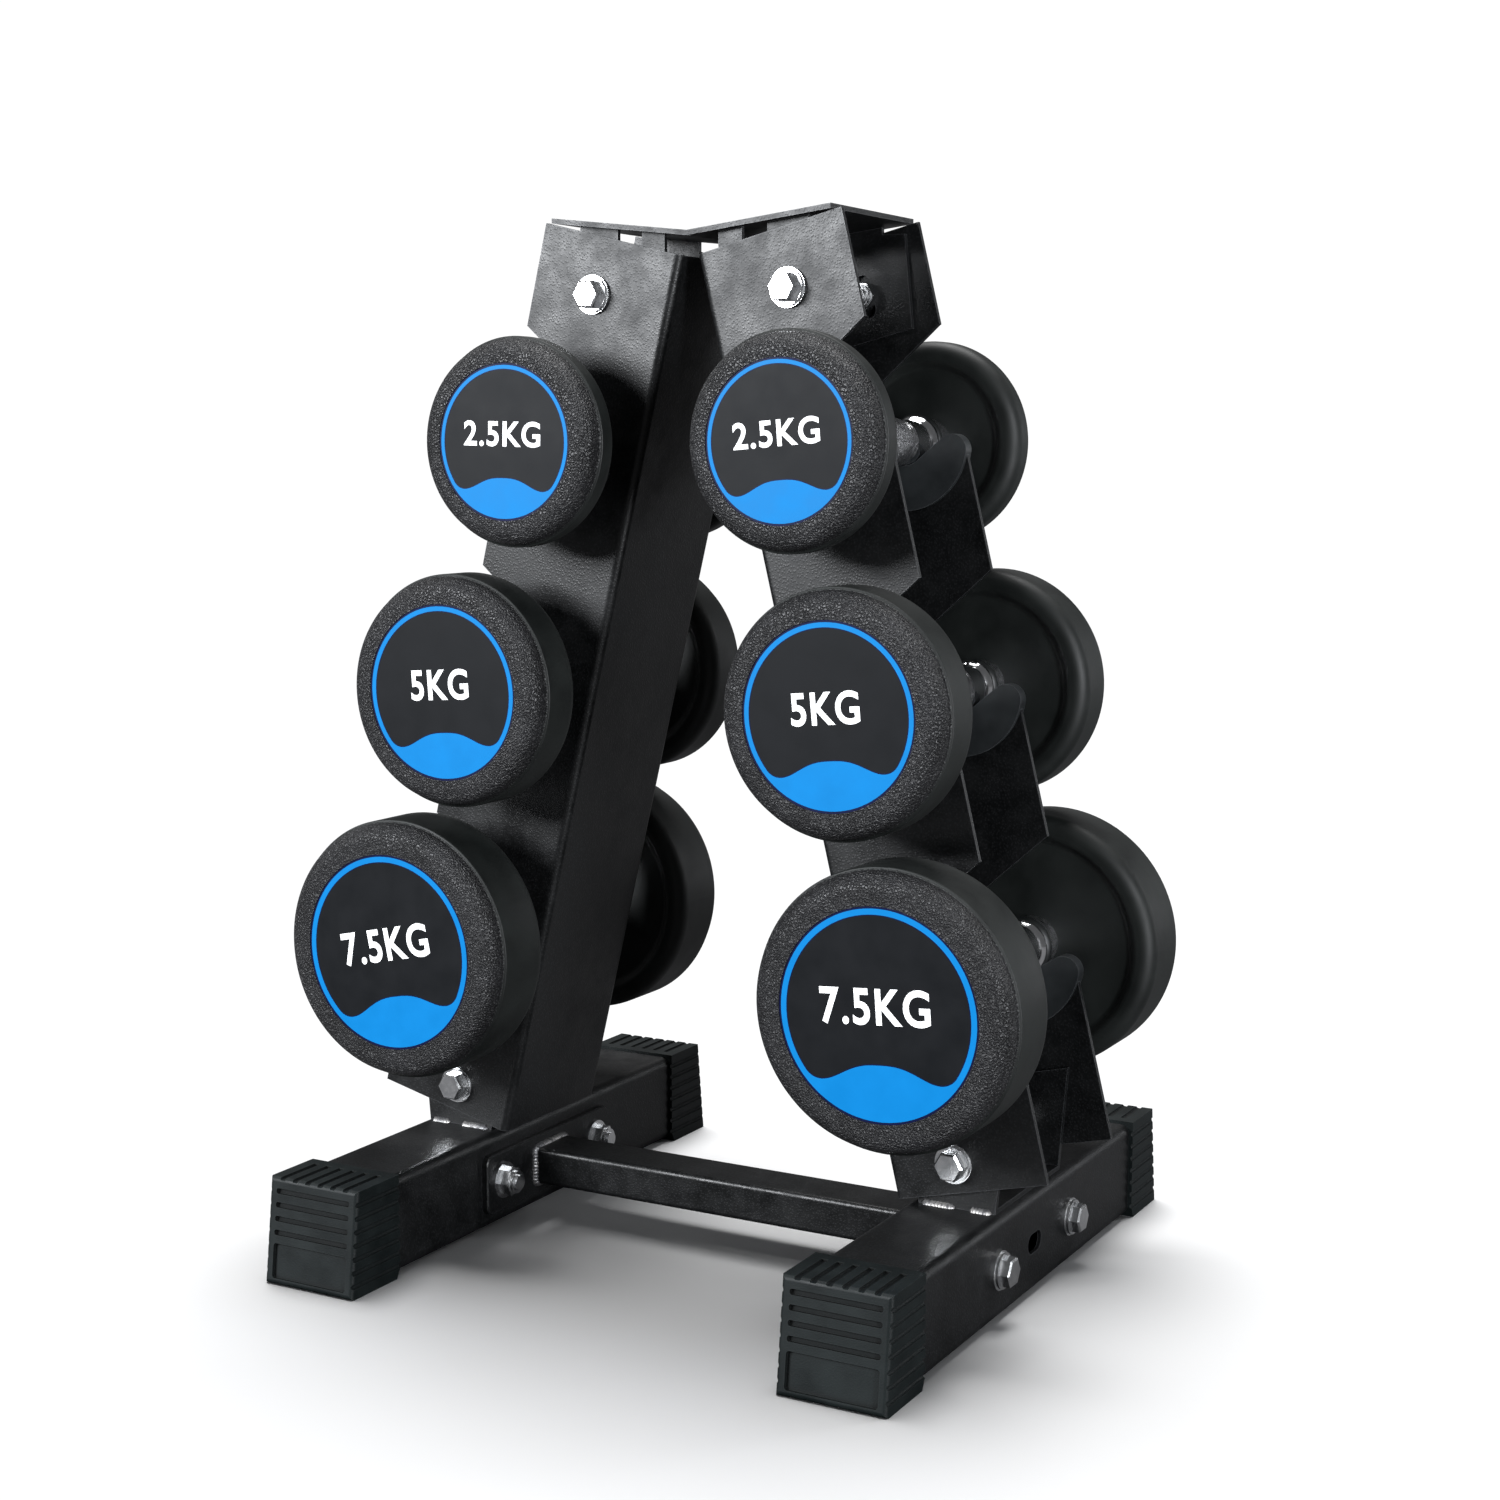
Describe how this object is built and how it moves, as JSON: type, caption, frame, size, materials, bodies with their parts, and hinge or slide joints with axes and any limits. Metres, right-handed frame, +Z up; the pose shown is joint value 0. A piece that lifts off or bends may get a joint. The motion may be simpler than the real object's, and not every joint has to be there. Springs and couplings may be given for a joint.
{
  "type": "dumbbell rack",
  "caption": "Half-metre-tall two-sided rack whose leaning steel channels hold six round dumbbells in notched saddles over rubber-capped feet.",
  "frame": {"origin": "on the floor, under the middle of the rack", "axes": "+Z up, +X to the right-hand column, -Y towards the front"},
  "size_m": [0.408, 0.343, 0.5271],
  "materials": {
    "powder_coat": "satin black powder coat",
    "zinc_plate": "bright zinc plate",
    "cap_rubber": "moulded matt",
    "saddle_plastic": "satin",
    "head_rubber": "leather-grained bevel, smooth rim",
    "core_iron": "raw casting",
    "handle_chrome": "polished, knurled grip",
    "badge": "printed disc with a blue ring"
  },
  "bodies": {
    "rack_frame": {"crossbar_bolts": "zinc_plate", "crossbar_nuts": "zinc_plate", "crossbar_tube": "powder_coat", "crossbar_washers": "zinc_plate", "front_left_cap": "cap_rubber", "front_right_cap": "cap_rubber", "left_end_plate": "powder_coat", "left_foot_tube": "powder_coat", "left_saddle_liners": "saddle_plastic", "left_socket_bracket": "powder_coat", "left_upright": "powder_coat", "rear_left_cap": "cap_rubber", "rear_right_cap": "cap_rubber", "right_end_plate": "powder_coat", "right_foot_tube": "powder_coat", "right_saddle_liners": "saddle_plastic", "right_socket_bracket": "powder_coat", "right_upright": "powder_coat", "top_bracket": "powder_coat", "upright_bolts": "zinc_plate", "upright_nuts": "zinc_plate", "upright_washers": "zinc_plate"},
    "right_light_dumbbell": {"right_light_badges": "badge", "right_light_front_core": "core_iron", "right_light_front_rubber": "head_rubber", "right_light_handle": "handle_chrome", "right_light_rear_core": "core_iron", "right_light_rear_rubber": "head_rubber"},
    "right_middle_dumbbell": {"right_middle_badges": "badge", "right_middle_front_core": "core_iron", "right_middle_front_rubber": "head_rubber", "right_middle_handle": "handle_chrome", "right_middle_rear_core": "core_iron", "right_middle_rear_rubber": "head_rubber"},
    "right_heavy_dumbbell": {"right_heavy_badges": "badge", "right_heavy_front_core": "core_iron", "right_heavy_front_rubber": "head_rubber", "right_heavy_handle": "handle_chrome", "right_heavy_rear_core": "core_iron", "right_heavy_rear_rubber": "head_rubber"},
    "left_light_dumbbell": {"left_light_badges": "badge", "left_light_front_core": "core_iron", "left_light_front_rubber": "head_rubber", "left_light_handle": "handle_chrome", "left_light_rear_core": "core_iron", "left_light_rear_rubber": "head_rubber"},
    "left_middle_dumbbell": {"left_middle_badges": "badge", "left_middle_front_core": "core_iron", "left_middle_front_rubber": "head_rubber", "left_middle_handle": "handle_chrome", "left_middle_rear_core": "core_iron", "left_middle_rear_rubber": "head_rubber"},
    "left_heavy_dumbbell": {"left_heavy_badges": "badge", "left_heavy_front_core": "core_iron", "left_heavy_front_rubber": "head_rubber", "left_heavy_handle": "handle_chrome", "left_heavy_rear_core": "core_iron", "left_heavy_rear_rubber": "head_rubber"}
  },
  "joints": [
    {"name": "right_light_lift_out", "type": "slide", "parent": "rack_frame", "child": "right_light_dumbbell", "axis": [0.766, 0, 0.6428], "range_m": [0, 0.12]},
    {"name": "right_middle_lift_out", "type": "slide", "parent": "rack_frame", "child": "right_middle_dumbbell", "axis": [0.766, 0, 0.6428], "range_m": [0, 0.12]},
    {"name": "right_heavy_lift_out", "type": "slide", "parent": "rack_frame", "child": "right_heavy_dumbbell", "axis": [0.848, 0, 0.5299], "range_m": [0, 0.12]},
    {"name": "left_light_lift_out", "type": "slide", "parent": "rack_frame", "child": "left_light_dumbbell", "axis": [-0.766, 0, 0.6428], "range_m": [0, 0.12]},
    {"name": "left_middle_lift_out", "type": "slide", "parent": "rack_frame", "child": "left_middle_dumbbell", "axis": [-0.766, 0, 0.6428], "range_m": [0, 0.12]},
    {"name": "left_heavy_lift_out", "type": "slide", "parent": "rack_frame", "child": "left_heavy_dumbbell", "axis": [-0.848, 0, 0.5299], "range_m": [0, 0.12]}
  ]
}
